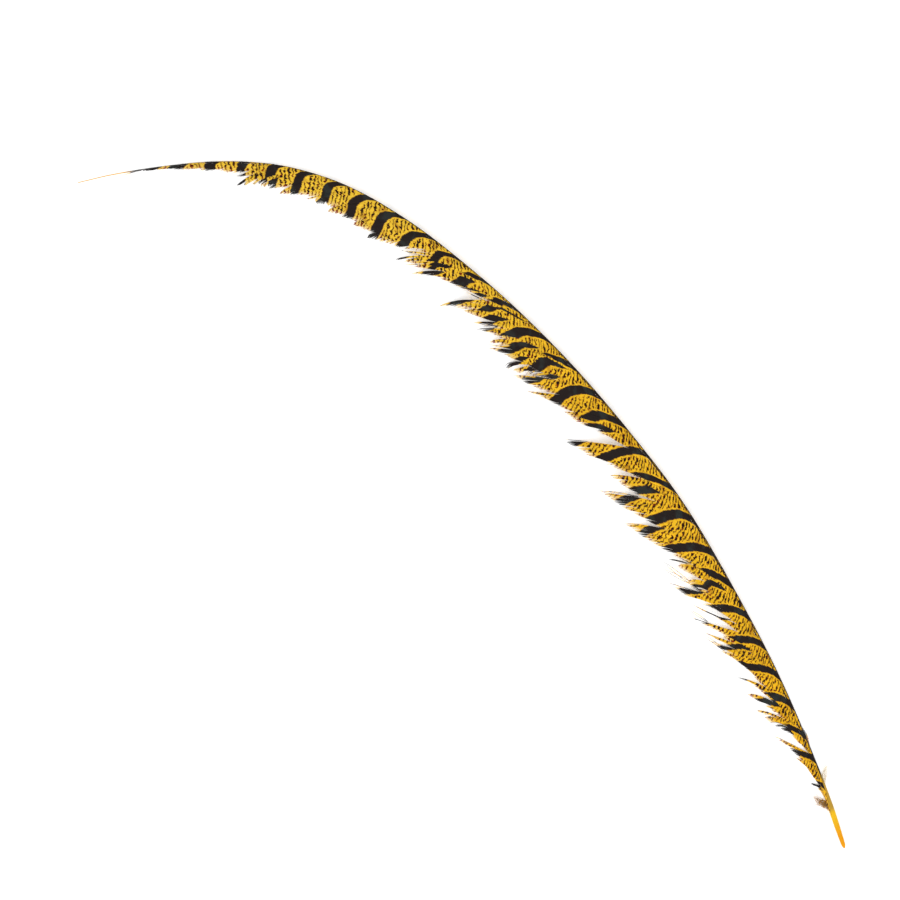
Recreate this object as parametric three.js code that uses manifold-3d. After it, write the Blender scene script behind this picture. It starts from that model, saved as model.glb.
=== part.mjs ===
// A long, bowed pheasant tail feather lying on a flat surface, its glossy side up.
//
// Everything is laid out along the shaft. A place on the feather is given by three numbers, in mm:
//   along: distance from the butt of the quill, measured along the shaft,
//   out:   distance from the shaft towards the wide vane (negative towards the narrow vane),
//   up:    height over the surface that the feather lies on.
// The shaft is the ridge of a low roof. The wide vane slopes down from it in ragged locks whose tips
// touch the surface, and the narrow vane is folded steeply down on the other side.

import * as THREE from 'three';
import { mergeVertices } from 'three/addons/utils/BufferGeometryUtils.js';
import Module from 'manifold-3d';

const { degToRad, lerp, smoothstep } = THREE.MathUtils;

// ---- Shaft ----

// The line of the shaft seen from above, from the butt of the quill to the hair-thin tip: [x, y].
const SHAFT_LINE = [
  [0, 0], [49, -28], [109, -57.5], [169, -81.5], [239.5, -105.5], [299, -118.5], [361, -128],
  [420, -132.5], [472, -132.5], [517.5, -129.5], [563.5, -120.5], [604, -103.5], [638, -79.5],
  [668, -50], [693.5, -20.5], [710, 0],
];
const BUTT = -1.5; // the rounded end of the quill, just before that line starts
// Radius of the shaft: [along, radius]. The butt is rounded and the quill is widest below the vanes.
const SHAFT_RADIUS = [
  [BUTT, 0.95], [1, 1.45], [14, 1.9], [26, 2.05], [60, 1.5], [120, 1.2], [300, 0.95],
  [500, 0.75], [700, 0.45], [783, 0.25],
];
const SHAFT_SIDES = 8;
const SHAFT_STEPS = 46;
const QUILL_END = 40; // the bare quill lies on the surface up to here
const ARCH_RISE = 8.5; // how far the ridge lifts off the surface
const ARCH_FULL = 260; // the ridge has its full height from here
const ARCH_FALL = 470; // and sinks back towards the tip from here

// ---- Vanes ----

const VANE_THICKNESS = 0.9; // at the quill end
const TIP_THICKNESS = 0.5; // at the tip end
const BARB_ROOT_ANGLE = degToRad(20); // between a barb and the shaft where it leaves the shaft
const BARB_BEND = degToRad(0.44); // added to that angle by each mm of barb
const LOCK_OVERLAP = 0.8; // how far the root of a lock reaches under the next one
const LOCK_SHINGLE = 0.4; // how far a lock's lower edge lies on top of the lock before it
const LOCK_PINCH = 1.7; // how far the last barbs of a lock draw away from the next lock
const PINCH_WAY = [-0.64, 0.77]; // the way they draw, square to the barbs: [along, out]
const LOCK_ROWS = 4;
const VANE_ARCH = 1.15; // above 1 the wide vane is convex across its width

// How far the wide vane's longest locks reach from the shaft, where they touch down: [along, out].
const VANE_REACH = [
  [20, 8], [50, 9], [90, 19], [130, 26.5], [185, 34], [222, 37], [278, 40], [309, 40], [354, 38],
  [399, 35], [445, 33], [488, 34], [535, 26.5], [562, 24.5], [600, 21], [638, 18.5], [671, 15.5],
  [700, 4.5], [783, 1],
];

// The locks of the wide vane from the quill to the tip. Each is its outer edge, from the notch
// that parts it from the lock before it to its own tip: [along, out].
const LOCKS = [
  [[25, 0.5], [31, 6], [36, 8]],
  [[34, 1.5], [42, 3], [50, 8]],
  [[46, 2.5], [62, 6.5], [71, 11.5]],
  [[66, 7], [81, 13.5], [90, 19]],
  [[70, 1.5], [87, 8], [98, 17], [113, 23.5]],
  [[99, 8.5], [115, 18], [129, 26.5]],
  [[113, 10.5], [131, 18], [140, 26]],
  [[127, 12.5], [140, 16], [152, 21.5], [162, 27.5]],
  [[157, 22], [164, 27], [172, 30.5]],
  [[159, 18.5], [168, 24.5], [184, 34.5]],
  [[165.5, 19], [169, 20.5], [172, 21.5]],
  [[170.5, 19.5], [176, 23], [182, 27.5], [194, 34.5]],
  [[170, 11.7], [178, 15], [186, 20], [207, 33]],
  [[178, 10.5], [190, 17], [205, 28.5], [223, 37]],
  [[206, 21], [211, 23], [217, 25]],
  [[210, 13.5], [225, 23], [238, 28]],
  [[227, 17], [246, 28], [260, 34.5], [278, 40.5]],
  [[260, 22], [278, 30], [288, 34.5], [306, 40]],
  [[279, 15], [290, 21.5], [305, 27]],
  [[298, 23.5], [306, 26.5], [314, 29]],
  [[298, 13.5], [310, 19.5], [321, 26]],
  [[317, 21.5], [322, 24.5], [328, 28.5]],
  [[322, 24], [330, 29.5], [339, 34.5]],
  [[334, 30.5], [342, 34], [354, 38]],
  [[321, 7.5], [335, 12.5], [357, 22.5], [369, 24.5]],
  [[365, 21], [370, 23], [374, 25.5]],
  [[371, 23.5], [386, 29], [399, 35]],
  [[381, 20.5], [392, 26.5], [403, 31], [413, 33]],
  [[391, 15.5], [403, 25.5], [414, 30], [423, 33.5]],
  [[418, 24.5], [427, 27], [441, 32.5]],
  [[425, 20], [435, 26.5], [445, 33]],
  [[431, 22], [438, 26], [444, 29]],
  [[436, 20], [443, 22], [456, 28]],
  [[441, 15], [452, 22], [463, 27.5]],
  [[448, 15], [456, 19], [465, 22.5], [478, 26.5]],
  [[466, 18.5], [482, 28], [488.5, 34]],
  [[462, 8], [485, 14], [503, 18.5], [518, 27.5]],
  [[503, 14], [516, 21], [526, 25.5]],
  [[514, 16.5], [521, 21], [535, 26.5]],
  [[515, 10.5], [525, 15.5], [534, 19]],
  [[516, 9], [535, 17], [552, 21.5], [562, 24.5]],
  [[558, 19], [570, 21], [577, 20.5]],
  [[573, 18], [579, 18.5], [586, 20.5]],
  [[583, 17.5], [590, 19.5], [598, 21]],
  [[594, 16.5], [602, 16.5], [610, 19]],
  [[609, 14.5], [613, 17], [618, 18]],
  [[610, 14], [620, 15.5], [630, 17.5], [638, 18.5]],
  [[629, 11.5], [638, 14.5], [646, 16]],
  [[642, 13], [648, 15], [652, 15.5]],
  [[650, 11.5], [655, 14], [660, 15]],
  [[657, 11.5], [663, 15], [671, 15.5]],
  [[659, 8], [664, 9], [670, 9]],
  [[661, 5.5], [670, 7.2], [683, 6]],
  [[680, 4.5], [690, 4.8], [698, 4.2]],
  [[694, 3], [705, 2.8], [716, 2]],
  [[712, 1.8], [722, 1.2], [737, 0.9]],
];

// The narrow vane: where it starts and ends, its lean and the place where it spreads a little.
const NARROW_START = 44;
const NARROW_END = 730;
const NARROW_STEPS = 42;
const NARROW_LEAN = 0.9; // how far out its lower edge stands
const NARROW_NOTCH = 1.2; // its lower edge is notched up to this high
const FLARE_PLACE = 81;
const FLARE_HALF_LENGTH = 10;
const FLARE_LEAN = 2.6; // added to the lean there

// The wisp of down on the narrow side, just above the quill: its root and its tip.
const WISP_ROOT = 43;
const WISP_WIDTH = 5;
const WISP_TIP = [56, -9];

const COLOURS = { feather: 0xe6a51f };

/** Value at `place` on a line of [place, value] points. */
function along(line, place) {
  const next = line.findIndex(([at]) => at > place);
  if (next === -1) return line[line.length - 1][1];
  if (next === 0) return line[0][1];
  const [start, from] = line[next - 1];
  const [end, to] = line[next];
  return lerp(from, to, (place - start) / (end - start));
}

// ---- Placing things along the shaft ----

const shaftCurve = new THREE.CatmullRomCurve3(
  SHAFT_LINE.map(([x, y]) => new THREE.Vector3(x, y, 0)), false, 'catmullrom', 0.5,
);
shaftCurve.arcLengthDivisions = 2000;
const SHAFT_LENGTH = shaftCurve.getLength();

/** Point of the feather at a distance along the shaft, out from it and up from the surface. */
function place(distance, out, up) {
  const share = THREE.MathUtils.clamp(distance / SHAFT_LENGTH, 0, 1);
  const point = shaftCurve.getPointAt(share);
  const tangent = shaftCurve.getTangentAt(share);
  const beyond = distance - share * SHAFT_LENGTH;
  return new THREE.Vector3(
    point.x + tangent.x * beyond - tangent.y * out,
    point.y + tangent.y * beyond + tangent.x * out,
    up,
  );
}

/** Height of the shaft's axis: on the surface along the quill, arched up along the vanes. */
function axisHeight(distance) {
  const lying = along(SHAFT_RADIUS, distance) * Math.cos(Math.PI / SHAFT_SIDES);
  const rise = smoothstep(distance, QUILL_END, ARCH_FULL);
  const fall = smoothstep(distance, ARCH_FALL, SHAFT_LENGTH);
  return lying + ARCH_RISE * rise * (1 - fall);
}

/** Thickness of the vanes at a distance along the shaft. */
function vaneThickness(distance) {
  return lerp(VANE_THICKNESS, TIP_THICKNESS, THREE.MathUtils.clamp(distance / SHAFT_LENGTH, 0, 1));
}

/** Height of the middle of the wide vane's thickness. */
function vaneHeight(distance, out) {
  const lowest = vaneThickness(distance) / 2;
  const share = Math.min(out / along(VANE_REACH, distance), 1);
  return lowest + (axisHeight(distance) - lowest) * (1 - share ** VANE_ARCH);
}

// ---- Solids ----

const wasm = await Module();
wasm.setup();

/** Moves every vertex of a closed three.js shape to where `move` puts it, and makes it a solid. */
function solid(geometry, move) {
  geometry.deleteAttribute('normal');
  geometry.deleteAttribute('uv');
  const merged = mergeVertices(geometry, 1e-5);
  const position = merged.attributes.position;
  const vertex = new THREE.Vector3();
  for (let i = 0; i < position.count; i += 1) {
    vertex.fromBufferAttribute(position, i);
    const moved = move(vertex);
    position.setXYZ(i, moved.x, moved.y, moved.z);
  }
  return new wasm.Manifold(new wasm.Mesh({
    numProp: 3,
    vertProperties: new Float32Array(position.array),
    triVerts: new Uint32Array(merged.index.array),
  }));
}

/** The quill and shaft: a tapering rod with flat sides, one of which faces down. */
function makeShaft() {
  const turn = Math.PI / SHAFT_SIDES;
  const rod = new THREE.CylinderGeometry(1, 1, 1, SHAFT_SIDES, SHAFT_STEPS, false, turn);
  return solid(rod, ({ x, y, z }) => {
    // Steps are closer together at the butt, so that its end is round.
    const distance = lerp(BUTT, SHAFT_LENGTH, (y + 0.5) ** 1.2);
    const radius = along(SHAFT_RADIUS, distance);
    return place(distance, -x * radius, axisHeight(distance) + z * radius);
  });
}

/** How far a barb has run along the shaft when it is `out` from it. */
function barbRun(out) {
  const angle = Math.acos(Math.cos(BARB_ROOT_ANGLE) - BARB_BEND * out);
  return (Math.sin(angle) - Math.sin(BARB_ROOT_ANGLE)) / BARB_BEND;
}

/** Length of a barb from the shaft to `out` from it. */
function barbLength(out) {
  return (Math.acos(Math.cos(BARB_ROOT_ANGLE) - BARB_BEND * out) - BARB_ROOT_ANGLE) / BARB_BEND;
}

/** Where a barb that nothing pulls aside is, `length` from its root: [along, out]. */
function barbPoint(root, length) {
  const angle = BARB_ROOT_ANGLE + BARB_BEND * length;
  return [
    root + (Math.sin(angle) - Math.sin(BARB_ROOT_ANGLE)) / BARB_BEND,
    (Math.cos(BARB_ROOT_ANGLE) - Math.cos(angle)) / BARB_BEND,
  ];
}

/** Root on the shaft of the barb that passes the first point of a lock's edge. */
function notchRoot([[distance, out]]) {
  return distance - barbRun(out);
}

/**
 * One lock of the wide vane: a thin blade from the shaft to the lock's outer edge. Its barbs leave
 * the shaft side by side, and past the notch they turn to meet the edge.
 */
function makeLock(edge, next) {
  const firstRoot = notchRoot(edge);
  const [tipAlong, tipOut] = edge[edge.length - 1];
  const lastRoot = next ? notchRoot(next) : tipAlong - barbRun(tipOut);
  const notchLength = barbLength(edge[0][1]);
  const nextNotch = next ? barbLength(next[0][1]) : 0;
  const blade = new THREE.BoxGeometry(1, 1, 1, edge.length - 1, LOCK_ROWS, 1);
  return solid(blade, ({ x, y, z }) => {
    const column = Math.round((x + 0.5) * (edge.length - 1));
    const [endAlong, endOut] = edge[column];
    const share = (endAlong - edge[0][0]) / (tipAlong - edge[0][0]);
    const overlap = share === 1 ? LOCK_OVERLAP : 0;
    const root = lerp(firstRoot, lastRoot, share) + overlap;
    const length = barbLength(endOut);
    const pullStart = Math.min(lerp(notchLength, nextNotch, share), length * 0.9);
    const reached = length * (y + 0.5);
    const parted = Math.max((reached - pullStart) / (length - pullStart), 0);
    const pull = parted ** 2;
    const strength = Math.min((length - pullStart) / 20, 1) * share ** 4;
    const pinch = LOCK_PINCH * strength * 4 * parted * (1 - parted);
    const [freeAlong, freeOut] = barbPoint(root, reached);
    const [freeEndAlong, freeEndOut] = barbPoint(root, length);
    const distance = freeAlong + (endAlong - freeEndAlong) * pull + PINCH_WAY[0] * pinch;
    const out = freeOut + (endOut - freeEndOut) * pull + PINCH_WAY[1] * pinch;
    const lift = LOCK_SHINGLE * (1 - share);
    return place(distance, out, vaneHeight(distance, out) + lift + z * vaneThickness(distance));
  });
}

/** The narrow vane: a thin sheet folded down beside the shaft, with a notched lower edge. */
function makeNarrowVane() {
  const sheet = new THREE.BoxGeometry(1, 1, 1, NARROW_STEPS, 1, 1);
  return solid(sheet, ({ x, y, z }) => {
    const share = x + 0.5;
    const distance = lerp(NARROW_START, NARROW_END, share);
    const ridge = axisHeight(distance);
    if (y > 0) return place(distance, -z * vaneThickness(distance), ridge);
    const step = Math.round(share * NARROW_STEPS);
    const notch = Math.min(NARROW_NOTCH * ((step * 2) % 5) / 4, ridge / 2);
    const flare = 1 - smoothstep(Math.abs(distance - FLARE_PLACE), 0, FLARE_HALF_LENGTH);
    const lean = NARROW_LEAN * Math.min(1, ridge / 2) + FLARE_LEAN * flare;
    return place(distance, -lean - z * vaneThickness(distance), notch);
  });
}

/** The wisp of down on the narrow side. */
function makeWisp() {
  const blade = new THREE.BoxGeometry(1, 1, 1, 1, 3, 1);
  return solid(blade, ({ x, y, z }) => {
    const share = y + 0.5;
    const root = WISP_ROOT + WISP_WIDTH * (x + 0.5);
    const distance = lerp(root, WISP_TIP[0] + x, share);
    const height = lerp(axisHeight(root), VANE_THICKNESS / 2, share);
    return place(distance, WISP_TIP[1] * share ** 1.4, height - z * VANE_THICKNESS);
  });
}

// ---- The feather ----

let feather = makeShaft();
LOCKS.forEach((edge, index) => {
  feather = feather.add(makeLock(edge, LOCKS[index + 1]));
});
feather = feather.add(makeNarrowVane());
feather = feather.add(makeWisp());

// The origin is under the middle of the feather's box.
const { min, max } = feather.boundingBox();
const result = feather.translate([-(min[0] + max[0]) / 2, -(min[1] + max[1]) / 2, -min[2]]).getMesh();

const geometry = new THREE.BufferGeometry();
geometry.setAttribute('position', new THREE.BufferAttribute(result.vertProperties, 3));
geometry.setIndex(new THREE.BufferAttribute(result.triVerts, 1));
geometry.computeVertexNormals();

const mesh = new THREE.Mesh(
  geometry,
  new THREE.MeshStandardMaterial({ color: COLOURS.feather, roughness: 0.6, metalness: 0 }),
);
mesh.name = 'feather';

const group = new THREE.Group();
group.add(mesh);

export default group;
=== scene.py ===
"""A long, bowed pheasant tail feather lying on a pale floor, its glossy side up.

Everything is laid out along the shaft, in millimetres, and turned into metres in the frame of the
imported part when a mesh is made. A place on the feather is given by
    along: distance from the butt of the quill, measured along the shaft,
    out:   distance from the shaft towards the edge of a vane,
    up:    height over the surface that the feather lies on.
"""

import logging
import math
from dataclasses import dataclass, field, fields
from enum import Enum

import bpy
import numpy as np
from mathutils import Matrix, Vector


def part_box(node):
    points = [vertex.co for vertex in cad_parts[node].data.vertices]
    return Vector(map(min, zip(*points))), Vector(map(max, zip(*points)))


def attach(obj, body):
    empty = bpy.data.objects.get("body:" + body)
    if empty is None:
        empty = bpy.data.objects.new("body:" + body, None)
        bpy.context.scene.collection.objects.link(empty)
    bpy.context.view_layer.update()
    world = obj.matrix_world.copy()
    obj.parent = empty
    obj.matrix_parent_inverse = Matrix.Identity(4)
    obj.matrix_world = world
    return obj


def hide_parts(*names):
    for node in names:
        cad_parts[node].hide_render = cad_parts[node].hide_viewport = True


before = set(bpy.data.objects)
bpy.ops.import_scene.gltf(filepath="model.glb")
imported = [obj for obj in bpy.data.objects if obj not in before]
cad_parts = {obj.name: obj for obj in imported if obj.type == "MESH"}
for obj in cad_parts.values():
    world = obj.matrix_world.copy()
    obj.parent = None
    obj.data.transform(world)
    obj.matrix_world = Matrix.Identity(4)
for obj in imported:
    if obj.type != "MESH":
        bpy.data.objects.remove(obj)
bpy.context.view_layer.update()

LOG = logging.getLogger("pheasant_feather")
MM = 0.001
UPWARDS = (0.0, 0.0, 1.0)
BODY = "root"
NODE = "feather"

Points = tuple[tuple[float, float], ...]


# ---------------------------------------------------------------- measures along the shaft


@dataclass(frozen=True)
class Profile:
    """A value that changes along a line, straight between its (place, value) points."""

    points: Points

    def at(self, place: np.ndarray | float) -> np.ndarray:
        """Value of the profile at one place or at many."""
        places, values = np.array(self.points, float).T
        return np.interp(place, places, values)


def smoothstep(value: np.ndarray, low: float, high: float) -> np.ndarray:
    """Rises smoothly from 0 to 1 while value goes from low to high."""
    share = np.clip((value - low) / (high - low), 0, 1)
    return share * share * (3 - 2 * share)


def unit(vectors: np.ndarray) -> np.ndarray:
    """The same vectors, each one unit long."""
    return vectors / np.maximum(np.linalg.norm(vectors, axis=-1, keepdims=True), 1e-12)


def on_line(place: np.ndarray, places: np.ndarray, points: np.ndarray) -> np.ndarray:
    """Points of a line of straight steps.

    Args:
        place: Where along the line the wanted points are.
        places: Where along it its own points are.
        points: Its own points.

    Returns:
        An array with one more axis than `place`.
    """
    return np.stack([np.interp(place, places, axis) for axis in points.T], -1)


def wander(rng: np.random.Generator, count: int, every: float) -> np.ndarray:
    """A smooth random walk between -1 and 1 for things that stand in a row.

    Args:
        rng: Source of the random draws.
        count: How many things there are.
        every: How many of them there are between two turns of the walk.

    Returns:
        One number for each thing.
    """
    knots = rng.uniform(-1, 1, int(count / every) + 3)
    place = np.arange(count) / every
    whole = place.astype(int)
    share = smoothstep(place - whole, 0, 1)
    return knots[whole] * (1 - share) + knots[whole + 1] * share


def one_for_each(rng: np.random.Generator, rings: np.ndarray) -> np.ndarray:
    """A random number from 0 to 1 for each row of `rings`, the same in all of its columns."""
    return rng.uniform(0, 1, len(rings))[:, None] + np.zeros_like(rings)


@dataclass
class ShaftLine:
    """The line of the shaft: where it runs, how thick it is and how high it arches.

    The line starts at the butt of the quill, which is at the low X and high Y end of the CAD box.
    The quill's axis is `axis_height` radii high, so that it rests on a narrow flat.
    """

    turns: Points = (
        (0, 0), (49, -28), (109, -57.5), (169, -81.5), (239.5, -105.5), (299, -118.5),
        (361, -128), (420, -132.5), (472, -132.5), (517.5, -129.5), (563.5, -120.5),
        (604, -103.5), (638, -79.5), (668, -50), (693.5, -20.5), (710, 0),
    )  # fmt: skip
    radius: Profile = Profile(
        (
            (-1.5, 0.95), (1, 1.45), (14, 1.9), (26, 2.05), (60, 1.5), (120, 1.2),
            (300, 0.95), (500, 0.75), (700, 0.45), (783, 0.25),
        )
    )  # fmt: skip
    butt: float = -1.5
    butt_inset: tuple[float, float] = (1.74, 1.51)
    quill_end: float = 40
    axis_height: float = 0.924
    arch_rise: float = 8.5
    arch_full: float = 260
    arch_fall: float = 470
    steps_per_turn: int = 200
    length: float = field(init=False)

    def __post_init__(self) -> None:
        """Samples the line and finds where it lies in the frame."""
        low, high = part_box(NODE)
        self._start = np.array([low.x / MM + self.butt_inset[0], high.y / MM - self.butt_inset[1]])
        knots = np.array(self.turns, float)
        knots = np.vstack([2 * knots[0] - knots[1], knots, 2 * knots[-1] - knots[-2]])
        share = np.linspace(0, 1, self.steps_per_turn, endpoint=False)[:, None]
        stretches = []
        for before, here, there, after in zip(knots, knots[1:], knots[2:], knots[3:]):
            leaving, arriving = (there - before) / 2, (after - here) / 2
            bend = 3 * (there - here) - 2 * leaving - arriving
            twist = 2 * (here - there) + leaving + arriving
            stretches.append(here + leaving * share + bend * share**2 + twist * share**3)
        self._points = np.vstack([*stretches, knots[-2][None]])
        steps = np.linalg.norm(np.diff(self._points, axis=0), axis=1)
        self._places = np.concatenate([[0], np.cumsum(steps)])
        self._ways = unit(np.gradient(self._points, self._places, axis=0))
        self.length = float(self._places[-1])

    def place(self, along: np.ndarray, out: np.ndarray, up: np.ndarray) -> np.ndarray:
        """Points of the feather in the frame, in mm.

        Args:
            along: Distances along the shaft.
            out: Distances from the shaft, towards the wide vane.
            up: Heights over the surface.

        Returns:
            An array of points with one more axis than the arguments.
        """
        along, out, up = np.broadcast_arrays(along, out, up)
        near = np.clip(along, 0, self.length)
        point = on_line(near, self._places, self._points)
        way = unit(on_line(near, self._places, self._ways))
        beyond = (along - near)[..., None]
        across = np.stack([-way[..., 1], way[..., 0]], -1)
        flat = self._start + point + way * beyond + across * out[..., None]
        return np.concatenate([flat, up[..., None]], -1)

    def height(self, along: np.ndarray) -> np.ndarray:
        """Height of the shaft's axis: on the surface along the quill, arched along the vanes."""
        rise = smoothstep(along, self.quill_end, self.arch_full)
        fall = 1 - smoothstep(along, self.arch_fall, self.length)
        return self.radius.at(along) * self.axis_height + self.arch_rise * rise * fall


# ---------------------------------------------------------------- the markings


REST = (0, 0)  # stands where a bar's outermost stretch has no slip that ends it


@dataclass
class Markings:
    """Where the black bars and the fine dark lines lie on the vanes.

    The bars leave the shaft slanting towards the tip and then stand across the vane. Where barbs
    have slid past each other a bar is broken into stretches, listed from the shaft outwards. A
    stretch is given by a point of the slip that ends it (along, out), half its width, and points
    of its middle (along, out). The outermost stretch ends at `REST`, and a negative half width
    leaves the stretch plain. At the shaft each bar starts `lead` earlier and its half width is
    larger by `flare`, and both fade within a few times `flare_depth`.
    """

    bars: tuple[tuple[tuple, ...], ...] = (
        (((46, 2.6), 1.6, (46, 0), (47.3, 2), (48.3, 4)), (REST, 2.4, (46, 2.5), (48, 5), (50, 7.5))),
        ((REST, 2.3, (66.5, 0), (69, 3), (71, 6), (74.5, 10.5)),),
        (
            ((93, 8.2), 2.4, (84, 0), (88, 3), (90, 5), (91.5, 7)),
            (REST, 3.0, (90, 8.5), (93.3, 11.5), (95.5, 14)),
        ),
        (
            ((115, 9.8), 3.2, (107, 0), (111.5, 3), (113.5, 5), (116, 8), (116.5, 9.5)),
            (REST, 2.5, (112, 10.5), (114.5, 14), (117, 18.5)),
        ),
        (
            ((140, 20), 2.9, (129.5, 0), (134, 3), (136, 5), (139.5, 10), (142.5, 15), (146.5, 18.5)),
            (REST, 1.8, (136.5, 22), (138.5, 25)),
        ),
        (
            ((158, 11.5), 2.9, (153, 0), (157, 3), (159, 5), (162, 10), (164.5, 15), (165.5, 17)),
            (REST, 2.1, (151.5, 6.5), (155.5, 10), (158.5, 14), (160.5, 19), (163.5, 25.5)),
        ),
        (
            ((188.5, 17.5), 3.1, (176.5, 0), (180.5, 3), (183, 5), (187, 10), (189.5, 15), (191.5, 18)),
            ((186, 19.4), 4.5, (186, 18.5)),
            ((186, 24), -3, (186, 22)),
            (REST, 2.4, (184.5, 25), (186.5, 28), (188, 30)),
        ),
        (
            ((212, 9), 3.7, (202, 0), (207, 3), (210.5, 5), (214, 8), (216.5, 11.5)),
            (
                (210, 22.5), 2.5,
                (202.5, 6.5), (206, 9), (209, 12), (207, 16), (209, 20), (210.5, 22),
            ),
            (REST, 2.6, (207.5, 23), (209.5, 26), (212.5, 31)),
        ),
        (
            (
                (234, 21.2), 3.5,
                (226.5, 0), (230.5, 3), (233, 5), (236.5, 10), (239, 15), (241.5, 20), (244, 27),
            ),
            (REST, 2.3, (230.5, 20), (232.5, 22.5), (235, 26)),
        ),
        (
            (
                (262, 22.8), 3.9,
                (252.5, 0), (258, 3), (260.5, 5), (263.5, 10), (265.5, 15), (266.5, 20), (268.5, 25.5),
            ),
            (REST, 3.0, (261.5, 23), (263, 27), (263.5, 34)),
        ),
        (
            ((298, 12.5), 3.4, (280, 0), (286, 3), (290, 5), (294.5, 8), (298, 11), (300, 13)),
            ((290.5, 12.3), -3, (292, 12)),
            ((288, 20.8), 3.5, (287, 12), (289.5, 16), (292.5, 20)),
            (REST, 3.2, (290, 25), (291.5, 28), (292.5, 34)),
        ),
        (
            (
                REST, 3.4,
                (309, 0), (314.5, 3), (316.5, 5), (319.5, 10), (322, 15), (323.5, 20), (325.5, 25.5),
            ),
        ),
        (
            ((348, 12.7), 4.2, (336.5, 0), (343, 3), (346.5, 5), (351, 8), (352.5, 11), (353.5, 15)),
            ((340, 24), 3.7, (341, 11), (344.5, 14), (347.5, 17.5)),
            (REST, 3.4, (346, 31), (348, 34)),
        ),
        ((REST, 4.0, (362, 0), (368.5, 3), (371.5, 5), (375.5, 10), (378, 15), (378.5, 18), (378, 25)),),
        (
            ((404.5, 7), 4.6, (389, 0), (394, 1.5), (396.5, 3), (400, 4.5), (403, 6)),
            ((404, 7.8), -3, (404, 7)),
            ((403, 19.8), 4.3, (397, 6), (401, 8), (404, 10), (405.5, 15), (405.5, 19)),
            ((399, 22.5), 2.4, (394, 17), (396.5, 19), (398, 21)),
            (REST, 3.0, (399.5, 24), (402, 27), (404, 30)),
        ),
        (
            (
                (430, 13.5), 4.4,
                (416, 0), (422.5, 2), (426, 4), (428.5, 6), (431, 8), (432.5, 10), (433.5, 13),
            ),
            ((421, 10.4), -3, (424, 10)),
            ((424, 16), 3.2, (419, 10), (423, 13.5), (427, 17.5)),
            ((425, 25.3), 3.0, (426.5, 21), (429, 24.5), (431, 28)),
            (REST, 2.2, (418, 26), (420, 29), (422, 33)),
        ),
        (
            ((460, 7), 3.9, (446, 0), (453, 2), (457, 3), (458, 5), (458.5, 6.5)),
            ((460, 8), -3, (458, 7)),
            ((456, 8.2), 6, (446.5, 5)),
            ((455, 12.3), 3.2, (457.5, 8), (458, 9.5), (458.5, 11)),
            ((452, 12.3), -3, (455, 12)),
            ((451, 15.8), 4.5, (451.5, 14.5)),
            ((452, 20.6), 3, (453, 20)),
            (REST, 2.6, (449.5, 21), (451.5, 24), (454, 27)),
        ),
        (
            ((482, 3.7), 4.2, (473, 0), (480, 1), (483, 2), (484, 4)),
            ((486, 6.2), -3, (484, 5)),
            ((479, 10), 4.3, (483, 5), (484.5, 6.5), (485.5, 8), (485.8, 11)),
            ((476, 10), 4, (478, 10.3)),
            (REST, 2.4, (474.5, 17), (477.5, 20), (481, 26)),
        ),
        (
            ((511, 12), 3.0, (500, 0), (506, 2), (510, 4), (510.7, 6), (510.5, 11)),
            ((505, 11.8), 4.4, (505, 10.5)),
            ((505, 14.8), 1.8, (507.5, 13.5)),
            (REST, 3.0, (504, 15.5), (506, 17.5), (508.5, 20)),
        ),
        (
            ((525, 14), 3.5, (523, 0), (530.5, 3), (533, 5), (535.5, 10), (535.5, 15), (536, 18)),
            (REST, 2.6, (529.5, 20.5), (532, 23), (534, 25.5)),
        ),
        ((REST, 3.7, (549, 0), (556, 3), (557.5, 5), (558.5, 10), (558, 15), (557.5, 21)),),
        ((REST, 3.4, (574, 0), (578.7, 3), (580.5, 5), (582, 10), (580, 15), (581, 19)),),
        ((REST, 3.2, (596, 0), (602, 3), (603, 5), (603, 10), (602.5, 15), (606, 18)),),
        ((REST, 3.2, (619, 0), (624.5, 3), (625, 5), (625.5, 10), (626, 16)),),
        (
            ((649, 9.5), 3.6, (642.5, 0), (645.5, 3), (646, 5), (646, 8), (646, 10)),
            ((649.5, 12.5), 4.3, (652.5, 12.5)),
            (REST, 3.0, (643, 9), (644, 13)),
        ),
        ((REST, 3.0, (666, 0), (667, 3), (668, 5), (667, 8)),),
        ((REST, 3.6, (688.5, 0), (690, 2), (689.5, 4)),),
        ((REST, 5.3, (712.5, 0), (713.5, 1)),),
        ((REST, 9.0, (735, 0), (737, 1)),),
        ((REST, -3, (775, 0), (776, 1)),),
    )  # fmt: skip
    slip_run: Profile = Profile(
        (
            (0, 0), (2, 11.3), (5, 24.3), (8, 33.8), (12, 42.4), (15, 47.3), (20, 54.4),
            (30, 66.3), (40, 76.3),
        )
    )  # fmt: skip
    sweep: Profile = Profile(
        (
            (0, 15), (150, 17), (200, 20), (480, 20), (500, 17), (524, 14), (550, 11.5),
            (600, 9), (650, 6), (700, 3.5), (745, 2),
        )
    )  # fmt: skip
    sweep_width: Profile = Profile(
        ((150, 11.5), (200, 9), (480, 9), (500, 7), (524, 5), (550, 4), (600, 2), (745, 2))
    )
    line_lean: Profile = Profile(((0, 15), (460, 15), (540, 6), (580, 3), (700, 1)))
    lean_depth: float = 10
    line_slant: float = 0.1
    flare: float = 1.4
    lead: float = 1.8
    flare_depth: float = 1.5
    least_gap: float = 8
    least_phase: float = -0.45
    jump: float = 0.12
    ring_crowding: float = 1.25

    def law(self, start: float, out: np.ndarray) -> np.ndarray:
        """Where along the feather an unbroken bar that leaves the shaft at `start` is."""
        return start + self.sweep.at(start) * (1 - np.exp(-out / self.sweep_width.at(start)))

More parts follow.
